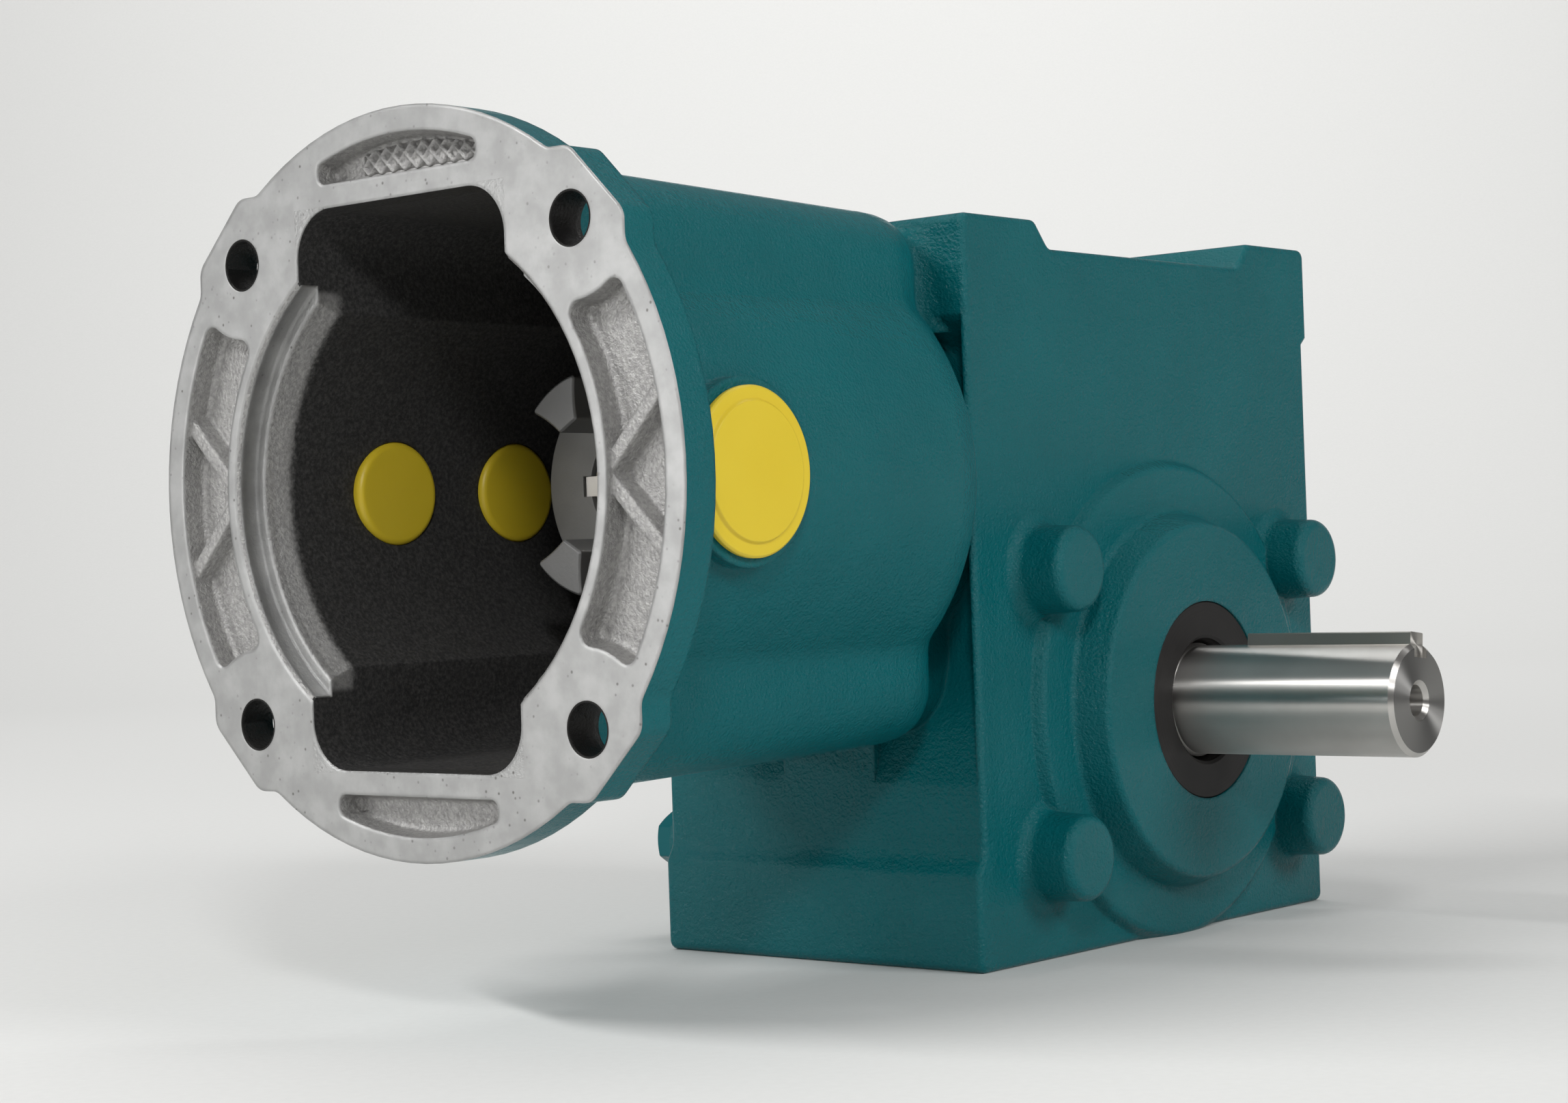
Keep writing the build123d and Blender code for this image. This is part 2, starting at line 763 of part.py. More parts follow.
def worm_shaft():
    front = front_bearing_front + front_bearing[2]
    rear = rear_bearing_front
    end = rear + rear_bearing[2] + input_end_reach
    seat = front_bearing[0] / 2
    rear_seat = rear_bearing[0] / 2
    core = worm_core / 2
    body = turned(
        [
            (input_start, 0), (input_start, input_end_diameter / 2 - 1),
            (input_start + 1, input_end_diameter / 2),
            (input_seal_start, input_end_diameter / 2), (input_seal_start + 1, input_seal_seat / 2),
            (front_bearing_front - 1, input_seal_seat / 2),
            (front_bearing_front, seat), (front, seat), (front, front_shoulder / 2),
            (front + 7, front_shoulder / 2), (front + 10, core), (rear - 12, core),
            (rear - 9, rear_shoulder / 2), (rear, rear_shoulder / 2), (rear, rear_seat),
            (end - 1, rear_seat), (end, rear_seat - 1), (end, 0),
        ],
        INPUT,
    )
    body += worm_threads()
    side = hub_key / 2 + running_clearance
    floor = input_end_diameter / 2 - hub_key_sink
    start = flange_y + input_start - 1
    stop = flange_y + input_seal_start - 1
    body -= block(-30, -floor, start, stop, input_height - side, input_height + side)
    return body


def worm_threads():
    """Two helical threads, trimmed by a body with bevelled ends."""
    pitch_radius = worm_diameter / 2
    tip = pitch_radius + module
    root = worm_core / 2 - 0.6
    slope = math.tan(math.radians(pressure_angle))
    lead_angle = math.atan(worm_lead / (math.pi * worm_diameter))
    thick = math.pi * module / 2 - tooth_clearance * 1.1
    half = thick / 2 * math.cos(lead_angle)
    section = Polyline(
        (root - pitch_radius, half + (pitch_radius - root) * slope), (module, half - module * slope),
        (module, module * slope - half), (root - pitch_radius, -half - (pitch_radius - root) * slope),
        close=True,
    )
    turns = math.ceil(worm_length / worm_lead) + 1.5
    start = flange_reach - worm_lead * (math.floor(turns / 2) + 0.25)
    path = Helix(worm_lead, worm_lead * turns, pitch_radius)
    plane = Plane(origin=path @ 0, x_dir=(1, 0, 0), z_dir=path % 0)
    thread = sweep(plane * make_face(section), path=path, is_frenet=True)
    low = flange_reach - worm_length / 2
    high = flange_reach + worm_length / 2
    limit = turned(
        [(low, 0), (low, root - 0.3), (low + 6, tip), (high - 6, tip), (high, root - 0.3), (high, 0)], INPUT
    )
    threads = Part()
    for turn in (0, 180):
        threads += limit & (INPUT * Rot(0, 0, turn) * Pos(0, 0, start) * thread)
    return threads


# Worm wheel

def tooth_space():
    """Outline of one space between teeth at the top of the wheel, flanks as involutes."""
    pitch_radius = wheel_diameter / 2
    base = pitch_radius * math.cos(math.radians(pressure_angle))
    bottom = centre_distance - worm_diameter / 2 - module - tip_clearance

    def half_angle(radius):
        ratio = min(1.0, base / radius)
        lean = math.acos(ratio)
        involute = math.tan(lean) - lean
        flat = math.radians(pressure_angle)
        extra = tooth_clearance / pitch_radius
        return math.pi / wheel_teeth / 2 + extra - (math.tan(flat) - flat) + involute

    def flank(side, radius):
        angle = half_angle(radius)
        return (side * radius * math.sin(angle), radius * math.cos(angle))

    top = rim_diameter / 2 + 1.5
    right = ThreePointArc(flank(1, bottom), flank(1, pitch_radius), flank(1, top))
    left = ThreePointArc(flank(-1, top), flank(-1, pitch_radius), flank(-1, bottom))
    outline = right + Line(right @ 1, left @ 0) + left + Line(left @ 1, right @ 0)
    return Plane.YZ * make_face(outline)


def worm_wheel_rim():
    bore = rim_bore / 2 + running_clearance
    half = rim_width / 2
    throat = worm_diameter / 2 - module
    outer = rim_diameter / 2
    edge = math.sqrt(throat**2 - (centre_distance - outer) ** 2)
    profile = Polyline((-half, bore), (-half, outer), (-edge, outer)) + ThreePointArc(
        (-edge, outer), (0, centre_distance - throat), (edge, outer)
    )
    profile += Polyline((edge, outer), (half, outer), (half, bore), (-half, bore))
    rim = revolve(Plane.XY * make_face(profile), Axis.X)
    worm_line = Axis((0, 0, centre_distance), (0, 1, 0))
    space = tooth_space().rotate(worm_line, -58)
    space = revolve(space, worm_line, revolution_arc=116)
    lead_angle = math.degrees(math.atan(worm_lead / (math.pi * worm_diameter)))
    space = Rot(0, 0, -lead_angle) * space
    step = 360 / wheel_teeth
    rim -= [Rot(step * i, 0, 0) * space for i in range(wheel_teeth)]
    return Pos(0, 0, output_height) * rim


def worm_wheel_hub():
    bore = wheel_seat / 2 + running_clearance
    half = hub_length / 2
    boss = hub_diameter / 2
    web = wheel_web / 2
    seat = rim_bore / 2
    body = turned(
        [
            (-half, bore), (-half, boss - 1), (-half + 1, boss), (-web, boss + 1), (-web, seat - 1),
            (-web - 2, seat - 1), (-web - 2, seat), (web + 2, seat), (web + 2, seat - 1), (web, seat - 1),
            (web, boss + 1), (half - 1, boss), (half, boss - 1), (half, bore),
        ],
        OUTPUT,
    )
    side = wheel_key / 2 + running_clearance
    top = output_height + wheel_seat / 2 - wheel_key_sink + wheel_key_height + 0.3
    return body - block(-half - 1, half + 1, -side, side, output_height, top)


# Tapered roller bearings

def bearing_figures(size):
    bore, outside, width = size
    mean = (bore + outside) / 4
    roller = (outside - bore) / 4 * roller_share
    return mean, roller, width * roller_length_share


def raceway(size, side, z):
    """Radius of the inner (side -1) or outer (side 1) raceway at distance z."""
    mean, roller, _ = bearing_figures(size)
    lean = math.radians(roller_slope)
    reach = roller + roller_gap
    slope = math.radians(roller_slope + side * roller_taper)
    middle = size[2] / 2 - side * reach * math.sin(lean)
    return mean + side * reach * math.cos(lean) + (z - middle) * math.tan(slope)


def bearing_cup(size):
    outer = size[1] / 2
    end = size[2] * 0.86
    return turned(
        [
            (0, raceway(size, 1, 0)), (0, outer - 1), (1, outer), (end - 0.6, outer), (end, outer - 0.6),
            (end, raceway(size, 1, end)),
        ],
        Pos(0, 0, 0),
    )


def bearing_cone(size):
    _, roller, length = bearing_figures(size)
    bore = size[0] / 2 + running_clearance
    width = size[2]
    lean = math.radians(roller_slope)
    low = width / 2 - length / 2 * math.cos(lean) + roller * 0.9 * math.sin(lean) - 0.5
    high = width / 2 + length / 2 * math.cos(lean) + roller * 1.1 * math.sin(lean) + roller_gap
    return turned(
        [
            (0.8, bore), (0.8, raceway(size, -1, low) + 0.7), (low, raceway(size, -1, low) + 0.7),
            (low, raceway(size, -1, low)), (high, raceway(size, -1, high)),
            (high, raceway(size, -1, high) + 2.0), (width, raceway(size, -1, high) + 2.0), (width, bore),
        ],
        Pos(0, 0, 0),
    )


def roller_shape(size, grow):
    _, roller, length = bearing_figures(size)
    half = length / 2 + grow
    taper = math.tan(math.radians(roller_taper)) * half
    radius = roller + grow
    return turned([(-half, 0), (-half, radius - taper), (half, radius + taper), (half, 0)], Pos(0, 0, 0))


def roller_set(size, grow=0.0):
    mean = bearing_figures(size)[0]
    shape = Pos(mean, 0, size[2] / 2) * Rot(0, roller_slope, 0) * roller_shape(size, grow)
    return [Rot(0, 0, 360 / rollers * i) * shape for i in range(rollers)]


def bearing_cage(size):
    mean, _, length = bearing_figures(size)
    lean = math.radians(roller_slope)
    reach = length / 2 + 1.3
    corners = []
    thick = cage_offset + cage_thickness
    for along, out in ((-reach, cage_offset), (reach, cage_offset), (reach, thick), (-reach, thick)):
        radius = mean + along * math.sin(lean) + out * math.cos(lean)
        corners.append((size[2] / 2 + along * math.cos(lean) - out * math.sin(lean), radius))
    return turned(corners, Pos(0, 0, 0)) - roller_set(size, cage_gap)


def bearing_places():
    """Back face of each cup, with z towards the gears."""
    outer = output_bearing_inner_face + output_bearing[2]
    return {
        "output_near": (output_bearing, OUTPUT * Pos(0, 0, outer) * Rot(180, 0, 0)),
        "output_far": (output_bearing, OUTPUT * Pos(0, 0, -outer)),
        "worm_front": (front_bearing, INPUT * Pos(0, 0, front_bearing_front)),
        "worm_rear": (rear_bearing, INPUT * Pos(0, 0, rear_bearing_front + rear_bearing[2]) * Rot(180, 0, 0)),
    }


# Seals, snap rings and caps

def seal(place, front, size, shaft):
    """A rotary shaft seal: the front face has the wide opening, the lip points inwards."""
    outer = size[0] / 2
    back = front - size[1]
    opening = seal_opening / 2 - 15.0 + shaft / 2
    lip = shaft / 2 + running_clearance
    return turned(
        [
            (front, opening + 0.8), (front, outer - 0.4), (front - 0.4, outer), (back + 0.5, outer),
            (back, outer - 0.5), (back, outer - 1.6), (front - 2.2, outer - 1.6),
            (front - 2.2, opening + 2.6),
            (back + 0.4, opening + 2.6), (back + 0.4, lip + 1.2), (back + 1.4, lip), (back + 2.2, lip),
            (front - 1.4, opening), (front - 0.5, opening),
        ],
        place,
    )


def snap_grooves():
    rear = rear_bearing_front + rear_bearing[2]
    front = front_bearing_front - snap_ring_width - 0.1
    return [(front, front_bearing[1]), (rear, rear_bearing[1])]


def snap_ring(groove, bore):
    outer = bore / 2 + snap_ring_depth
    ring = Circle(outer) - Circle(bore / 2 - 2.2)
    for lean in (-1, 1):
        ring += Rot(0, 0, lean * (snap_ring_gap + 6)) * Pos(bore / 2 - 3.0, 0) * Circle(2.6)
        ring -= Rot(0, 0, lean * (snap_ring_gap + 6)) * Pos(bore / 2 - 3.0, 0) * Circle(1.0)
    half = outer * math.tan(math.radians(snap_ring_gap))
    ring -= make_face(Polyline((0, 0), (outer, half), (outer, -half), close=True))
    return INPUT * Pos(0, 0, groove + 0.05) * extrude(ring, snap_ring_width)


def rear_end_cap():
    start = flange_reach + case_rear - 0.5
    outer = rear_bearing[1] / 2
    end = start + rear_cap_thickness
    return turned(
        [
            (start, 0), (start, outer - 4), (start - 3, outer - 3), (start - 3, outer), (end - 0.6, outer),
            (end, outer - 0.6), (end, 0),
        ],
        INPUT,
    ) - rod(INPUT, start - 4, start, rear_bearing[1] - 7)


def access_cap(depth, side):
    hole = cap_hole / 2 - register_clearance
    rim = cap_flange / 2
    raise_radius = cap_raise / 2
    face = cap_pad_face + cap_flange_thickness
    shape = turned(
        [
            (cap_pad_face + 0.02, 0), (cap_pad_face + 0.02, rim - 0.3), (cap_pad_face + 0.5, rim),
            (face - 0.5, rim), (face, rim - 0.5), (face, raise_radius + 0.5),
            (face + cap_raise_height, raise_radius),
            (face + cap_raise_height, 0),
        ],
        cap_axis(depth, side),
    )
    inside = cap_pad_face + 1
    nose = make_face(Polyline((0, inside), (hole, inside), (hole, cap_reach), (0, cap_reach), close=True))
    nose = fillet(corners_near(nose, lambda r, x: r > 1 and x < cap_reach + 1), cap_nose_round)
    return shape + cap_axis(depth, side) * revolve(Plane.XZ * nose, Axis.Z)


# Jaw coupling half

def coupling_hub():
    outer = coupling_diameter / 2
    face = jaw_front + jaw_length
    body = turned(
        [
            (face, 0), (face, outer - 0.6), (face + 0.6, outer), (face + coupling_body - 0.8, outer),
            (face + coupling_body, outer - 0.8), (face + coupling_body, 0),
        ],
        INPUT,
    )
    spread = math.radians(jaw_half_angle)
    tip = outer - 0.1
    far_x = tip * math.cos(spread)
    far_y = tip * math.sin(spread)
    middle_x = (far_x + jaw_inner) / 2
    middle_y = (far_y + jaw_inner_width / 2) / 2 - jaw_hollow
    arcs = ThreePointArc((far_x, -far_y), (tip, 0), (far_x, far_y))
    arcs += ThreePointArc((far_x, far_y), (middle_x, middle_y), (jaw_inner, jaw_inner_width / 2))
    arcs += Line((jaw_inner, jaw_inner_width / 2), (jaw_inner, -jaw_inner_width / 2))
    arcs += ThreePointArc((jaw_inner, -jaw_inner_width / 2), (middle_x, -middle_y), (far_x, -far_y))
    jaw = extrude(fillet(make_face(arcs).vertices(), 0.8), jaw_length + 1)
    jaw = chamfer(jaw.faces().sort_by(Axis.Z)[0].edges(), 0.5)
    for turn in (0, 120, 240):
        body += INPUT * Pos(0, 0, jaw_front) * Rot(0, 0, turn) * jaw
    bore = input_end_diameter / 2 + running_clearance
    body -= rod(INPUT, face - 1, face + coupling_body + 1, 2 * bore)
    side = hub_key / 2 + running_clearance
    wall = input_end_diameter / 2 - hub_key_sink + hub_key + 0.15
    body -= block(-wall, 0, flange_y + face - 1, flange_y + 100, input_height - side, input_height + side)
    screw = set_screw / 2 + screw_clearance
    body -= hub_screw_place() * Pos(0, 0, 20) * Cylinder(screw, 40)
    return body


def hub_screw_place():
    return Location((0, flange_y + set_screw_place, input_height), (0, -90, 0))


def coupling_key():
    floor = input_end_diameter / 2 - hub_key_sink + running_clearance
    side = hub_key / 2
    front = flange_y + jaw_front + jaw_length + 0.8
    return block(-floor - hub_key, -floor, front, front + 23.5, input_height - side, input_height + side)


def hub_set_screw():
    start = input_end_diameter / 2 - hub_key_sink + hub_key + 0.1
    screw = turned(
        [
            (start, 0), (start, set_screw / 2 - 1), (start + 1, set_screw / 2),
            (start + set_screw_length, set_screw / 2), (start + set_screw_length, 0),
        ],
        hub_screw_place(),
    )
    socket = extrude(RegularPolygon(1.7, 6), 5)
    return screw - hub_screw_place() * Pos(0, 0, start + set_screw_length - 3.5) * socket


nodes = {}


def add(name, *shapes):
    solids = [solid for shape in shapes for solid in shape.solids()]
    nodes[name] = solids[0] if len(solids) == 1 else Compound(children=solids)


add("housing", housing())
add("side_cover", side_cover())
add("cover_o_ring", o_ring())
add("cover_screws", *cover_screws())
add("oil_plugs", *oil_plugs())
add("output_shaft", output_shaft())
add("output_key", shaft_key())
add("wheel_key", wheel_drive_key())
add("wheel_spacer", wheel_spacer())
add("worm_wheel_rim", worm_wheel_rim())
add("worm_wheel_hub", worm_wheel_hub())
add("worm_shaft", worm_shaft())
add("coupling_hub", coupling_hub())
add("coupling_key", coupling_key())
add("hub_set_screw", hub_set_screw())
add("output_seal", seal(OUTPUT, disc_face - 0.2, output_seal, shaft_seat))
add("input_seal", seal(INPUT * Pos(0, 0, tower_front) * Rot(180, 0, 0), -0.2, input_seal, input_seal_seat))
for label, (groove, bore) in zip(("front_snap_ring", "rear_snap_ring"), snap_grooves()):
    add(label, snap_ring(groove, bore))
add("rear_end_cap", rear_end_cap())
add("access_cap_near", access_cap(cap_depth, 1))
add("access_caps_far", access_cap(cap_depth, -1), access_cap(second_cap_depth, -1))
for label, (size, place) in bearing_places().items():
    add(label + "_cup", place * bearing_cup(size))
    add(label + "_cone", place * bearing_cone(size))
    add(label + "_rollers", *[place * roller for roller in roller_set(size)])
    add(label + "_cage", place * bearing_cage(size))

os.makedirs("parts", exist_ok=True)
for name, shape in nodes.items():
    shape.label = name
    export_step(shape, f"parts/{name}.step")
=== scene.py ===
import math

import bmesh
import bpy
from mathutils import Matrix, Vector


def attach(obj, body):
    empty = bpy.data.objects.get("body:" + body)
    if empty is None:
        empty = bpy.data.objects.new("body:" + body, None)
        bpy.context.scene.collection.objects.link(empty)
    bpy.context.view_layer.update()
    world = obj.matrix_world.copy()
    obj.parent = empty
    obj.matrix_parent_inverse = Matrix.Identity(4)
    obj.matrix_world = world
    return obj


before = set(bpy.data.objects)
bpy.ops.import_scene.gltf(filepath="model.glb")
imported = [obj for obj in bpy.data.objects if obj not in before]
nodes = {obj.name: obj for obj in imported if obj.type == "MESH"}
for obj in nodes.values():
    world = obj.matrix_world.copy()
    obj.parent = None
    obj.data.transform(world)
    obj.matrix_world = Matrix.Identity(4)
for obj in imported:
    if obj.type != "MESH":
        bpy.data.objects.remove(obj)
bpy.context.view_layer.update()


# Case and motor bell: one grey iron sand casting. The outside is sprayed with teal enamel, thin enough
# to show the grain of the sand. The motor face and its pilot are turned bare, the pockets in the face
# stay as cast, and the inside of the bell has a black dip coat.
MM = 0.001
input_height = 122 * MM
face_y = -226 * MM

# Zones of the casting: depths behind the motor face, and distances from the input axis
face_skin = 0.3 * MM
pilot_radius = 57.3 * MM
pilot_ledge_depth = 5.8 * MM
pocket_outer_radius = 78.5 * MM
pocket_floor_depth = 7.5 * MM
notch_half_width = 33.8 * MM
notch_half_height = 63.2 * MM
bell_floor_depth = 133 * MM
bolt_offset = 52.76 * MM
# The bolt holes are painted dark grey inside, to the depth below, as painted shade
bolt_hole_shade_radius = 6.0 * MM
bolt_hole_shade_depth = 20 * MM

# Cast shoulder behind the pilot, where the dip coat ends raggedly
shoulder_from = 11.4 * MM
shoulder_to = 14.6 * MM
shoulder_end = 46.0 * MM
shoulder_end_fade = 2.5 * MM
ragged_edge = 1.2 * MM
ragged_reach = 3.0 * MM

# Front wall of the case, rammed in coarser sand
coarse_from = 126 * MM
coarse_to = 142 * MM
coarse_rise = 6 * MM
coarse_fall = 8 * MM

# Skins
thin_enamel = "#00545a"
thick_enamel = "#04666c"
enamel_roughness = 0.19
enamel_specular = 0.22
enamel_patch = 45.45 * MM
dip_coat_roughness = 0.6
dust_size = 0.9 * MM
iron_roughness = 0.42
as_cast_metal = 0.6
turned_metal = 0.8
hollow_spacing = 1.0 * MM
pore_spacing = 2.4 * MM
pore_patch = 11.11 * MM
pore_share = 0.8
porous_share = 0.3
tool_smear = 6.0 * MM
sand_grain = 0.8 * MM
coarse_grain = 1.8 * MM
sand_depth = 0.16 * MM
cast_edge_radius = 1.3 * MM

# Height of the sand in each zone, in sand_depth
enamel_height = 3.2
bare_height = 2.2
turned_height = 0.04
inside_height = 1.0
front_height = 3.0


def colour(code):
    """sRGB hex to the linear colour that shaders take."""
    parts = [int(code[i : i + 2], 16) / 255 for i in (1, 3, 5)]
    linear = [p / 12.92 if p <= 0.04045 else ((p + 0.055) / 1.055) ** 2.4 for p in parts]
    return (*linear, 1.0)


def add(tree, kind, inputs=None, **settings):
    """Adds a node; an input is a value, a hex colour, a socket, or a node with its open output."""
    node = tree.nodes.new("ShaderNode" + kind)
    for name, value in settings.items():
        setattr(node, name, value)
    for key, value in (inputs or {}).items():
        if isinstance(value, str):
            value = colour(value)
        if isinstance(value, bpy.types.Node):
            value = next(socket for socket in value.outputs if socket.enabled)
        if isinstance(value, bpy.types.NodeSocket):
            tree.links.new(value, node.inputs[key])
        else:
            node.inputs[key].default_value = value
    return node


def new_material(name):
    """An empty node material, its tree and the coordinates of the row frame."""
    material = bpy.data.materials.new(name)
    material.use_nodes = True
    tree = material.node_tree
    tree.nodes.clear()
    place = add(tree, "TexCoord").outputs["Object"]
    return material, tree, place


def finish_material(tree, **inputs):
    """Closes the tree with one Principled shader; names use _ for a space."""
    named = {key.replace("_", " "): value for key, value in inputs.items()}
    shader = add(tree, "BsdfPrincipled", named)
    add(tree, "OutputMaterial", {"Surface": shader})


def cover(piece, material):
    """Every slot of a piece gets this material."""
    piece.data.materials.clear()
    piece.data.materials.append(material)


def mottled(tree, place, patch, dark, light, detail, roughness=0.5):
    """Colour that drifts between two shades, in soft patches of the given size."""
    inputs = {"Vector": place, "Scale": 1 / patch, "Detail": detail, "Roughness": roughness}
    drift = add(tree, "TexNoise", inputs)
    return add(tree, "Mix", {0: drift, 6: dark, 7: light}, data_type="RGBA")


def sand_relief(tree, place, grain):
    """Height of a sand-cast skin: single grains on swells about seven grains wide. The grains are drawn
    two to three times as coarse as foundry sand, so that they show."""
    swell_span = 7.143
    swell_share = 0.9
    grit = add(tree, "TexNoise", {"Vector": place, "Scale": 1 / grain, "Detail": 3.0, "Roughness": 0.6})
    swell = add(tree, "TexNoise", {"Vector": place, "Scale": 1 / (swell_span * grain), "Detail": 2.0})
    return add(tree, "Math", {0: swell, 1: swell_share, 2: grit}, operation="MULTIPLY_ADD")


def skin_relief(tree, height, depth, strength, edge_radius):
    """Relief of the given depth, over edges drawn rounded, since no cast or moulded edge is sharp."""
    rounded = add(tree, "Bevel", {"Radius": edge_radius}, samples=4)
    inputs = {"Strength": strength, "Distance": depth, "Height": height, "Normal": rounded}
    return add(tree, "Bump", inputs)


def case_zones(tree, place):
    """Where each skin lies, as a mask for each zone."""
    axes = add(tree, "SeparateXYZ", {0: place}).outputs
    depth = add(tree, "Math", {0: axes["Y"], 1: -face_y}, operation="ADD")
    height = add(tree, "Math", {0: axes["Z"], 1: input_height}, operation="SUBTRACT")
    across = add(tree, "Math", {0: axes["X"]}, operation="ABSOLUTE")
    upward = add(tree, "Math", {0: height}, operation="ABSOLUTE")
    flat = add(tree, "CombineXYZ", {"X": across, "Y": upward})
    radius = add(tree, "VectorMath", {0: flat}, operation="LENGTH")
    to_bolt = add(tree, "VectorMath", {0: flat, 1: (bolt_offset, bolt_offset, 0)}, operation="DISTANCE")
    ragged = add(tree, "TexNoise", {"Vector": place, "Scale": 1 / ragged_edge, "Detail": 4.0})
    edge = add(tree, "Math", {0: ragged, 1: ragged_reach, 2: depth}, operation="MULTIPLY_ADD")

    # A sharp zone is where each of its distances is below a limit
    limits = {
        "face": ((depth, face_skin),),
        "pilot": ((radius, pilot_radius), (depth, pilot_ledge_depth)),
        "bore": ((radius, pilot_radius), (depth, bell_floor_depth)),
        "notch": ((across, notch_half_width), (upward, notch_half_height), (depth, bell_floor_depth)),
        "pocket": ((radius, pocket_outer_radius), (depth, pocket_floor_depth)),
        # painted shade: the region inside the bolt holes that is painted dark
        "bolt_hole_shade": ((to_bolt, bolt_hole_shade_radius), (depth, bolt_hole_shade_depth)),
    }
    zones = {}
    for zone, ends in limits.items():
        zones[zone] = 1.0
        for distance, limit in ends:
            below = add(tree, "Math", {0: distance, 1: limit}, operation="LESS_THAN")
            zones[zone] = add(tree, "Math", {0: zones[zone], 1: below}, operation="MULTIPLY")
    for zone, parts in (("turned", ("face", "pilot")), ("inside", ("bore", "notch"))):
        inputs = {i: zones[part] for i, part in enumerate(parts)}
        zones[zone] = add(tree, "Math", inputs, operation="MAXIMUM")

    # A soft zone fades in from the first value of a distance to the second
    fades = {
        "shoulder": (
            (edge, shoulder_to, shoulder_from),
            (upward, shoulder_end, shoulder_end - shoulder_end_fade),
        ),
        "front_wall": (
            (depth, coarse_from, coarse_from + coarse_rise),
            (depth, coarse_to + coarse_fall, coarse_to),
        ),
    }
    zones["shoulder"] = zones["bore"]
    zones["front_wall"] = 1.0
    for zone, spans in fades.items():
        for distance, start, full in spans:
            span = {"Value": distance, "From Min": start, "From Max": full}
            fade = add(tree, "MapRange", span, interpolation_type="SMOOTHSTEP")
            zones[zone] = add(tree, "Math", {0: zones[zone], 1: fade}, operation="MULTIPLY")
    return zones


def case_finish():
    """Teal enamel with a slight mottle, black dip coat dulled by foundry dust, as-cast iron with darker
    hollows between its grains, and turned iron, pale and a little smeared, with opened pores."""
    material, tree, place = new_material("enamel_on_sand_cast_iron")
    zones = case_zones(tree, place)

    # Patches in the skins: size, detail and roughness of a noise, and the span over which it counts
    noises = {
        "dust": (dust_size, 5.0, 0.7, 0.35, 0.75),
        "hollows": (hollow_spacing, 4.0, 0.5, 0.3, 0.7),
        "smear": (tool_smear, 5.0, 0.5, 0.3, 0.7),
        "porous": (pore_patch, 6.0, 0.7, 0.4, 0.62),
    }
    patch = {}
    for name, (size, detail, roughness, low, high) in noises.items():
        inputs = {"Vector": place, "Scale": 1 / size, "Detail": detail, "Roughness": roughness}
        span = {"Value": add(tree, "TexNoise", inputs), "From Min": low, "From Max": high}
        patch[name] = add(tree, "MapRange", span, interpolation_type="SMOOTHSTEP")
    cells = add(tree, "TexVoronoi", {"Vector": place, "Scale": 1 / pore_spacing})
    span = {"Value": cells, "From Min": 0.2, "From Max": 0.05, "To Max": pore_share}
    holes = add(tree, "MapRange", span, interpolation_type="SMOOTHSTEP")
    pores = add(tree, "Math", {0: holes, 1: patch["porous"]}, operation="MULTIPLY")
    porous = add(tree, "Math", {0: patch["porous"], 1: porous_share}, operation="MULTIPLY")

    enamel = mottled(tree, place, enamel_patch, thin_enamel, thick_enamel, 5.0, 0.6)
    dip_coat = add(tree, "Mix", {0: patch["dust"], 6: "#2c2c2c", 7: "#4c4b4a"}, data_type="RGBA")
    as_cast = add(tree, "Mix", {0: patch["hollows"], 6: "#949392", 7: "#aaa9a7"}, data_type="RGBA")
    turned = add(tree, "Mix", {0: patch["smear"], 6: "#a0a09f", 7: "#b0b0af"}, data_type="RGBA")
    for mask, shade in ((porous, "#969695"), (pores, "#55534f")):
        turned = add(tree, "Mix", {0: mask, 6: turned, 7: shade}, data_type="RGBA")

    # Each skin lies over the ones before it; over all of them, painted shade darkens the inside of the
    # bolt holes
    base = enamel
    for zone, skin in (
        ("pocket", as_cast), ("inside", dip_coat), ("shoulder", as_cast), ("turned", turned),
        # painted shade: dark grey inside the bolt holes, where little light reaches
        ("bolt_hole_shade", "#2b2a29"),
    ):
        base = add(tree, "Mix", {0: zones[zone], 6: base, 7: skin}, data_type="RGBA")
    gloss = enamel_roughness
    for zone, roughness in (
        ("inside", dip_coat_roughness), ("pocket", iron_roughness), ("turned", iron_roughness),
    ):
        gloss = add(tree, "Mix", {0: zones[zone], 2: gloss, 3: roughness})

    # Bare iron is partly metal to the light: its skin holds oxide, less so where it is turned
    bare = add(tree, "Math", {0: zones["pocket"], 1: zones["inside"]}, operation="SUBTRACT")
    for zone in ("shoulder", "turned"):
        bare = add(tree, "Math", {0: bare, 1: zones[zone]}, operation="MAXIMUM")
    metal = add(tree, "Math", {0: bare, 1: as_cast_metal}, operation="MULTIPLY")
    metal = add(tree, "Mix", {0: zones["turned"], 2: metal, 3: turned_metal})

    height = enamel_height
    for mask, sand in (
        (bare, bare_height), (zones["turned"], turned_height), (zones["inside"], inside_height),
    ):
        height = add(tree, "Mix", {0: mask, 2: height, 3: sand})
    fine = add(tree, "Math", {0: sand_relief(tree, place, sand_grain), 1: height}, operation="MULTIPLY")
    at_front = add(tree, "Math", {0: zones["front_wall"], 1: front_height}, operation="MULTIPLY")
    coarse = sand_relief(tree, place, coarse_grain)
    tall = add(tree, "Math", {0: coarse, 1: at_front, 2: fine}, operation="MULTIPLY_ADD")
    finish_material(
        tree, Base_Color=base, Roughness=gloss, Metallic=metal, Specular_IOR_Level=enamel_specular,
        Normal=skin_relief(tree, tall, sand_depth, 1.0, cast_edge_radius),
    )
    return material


cast_iron = case_finish()
cover(nodes["housing"], cast_iron)


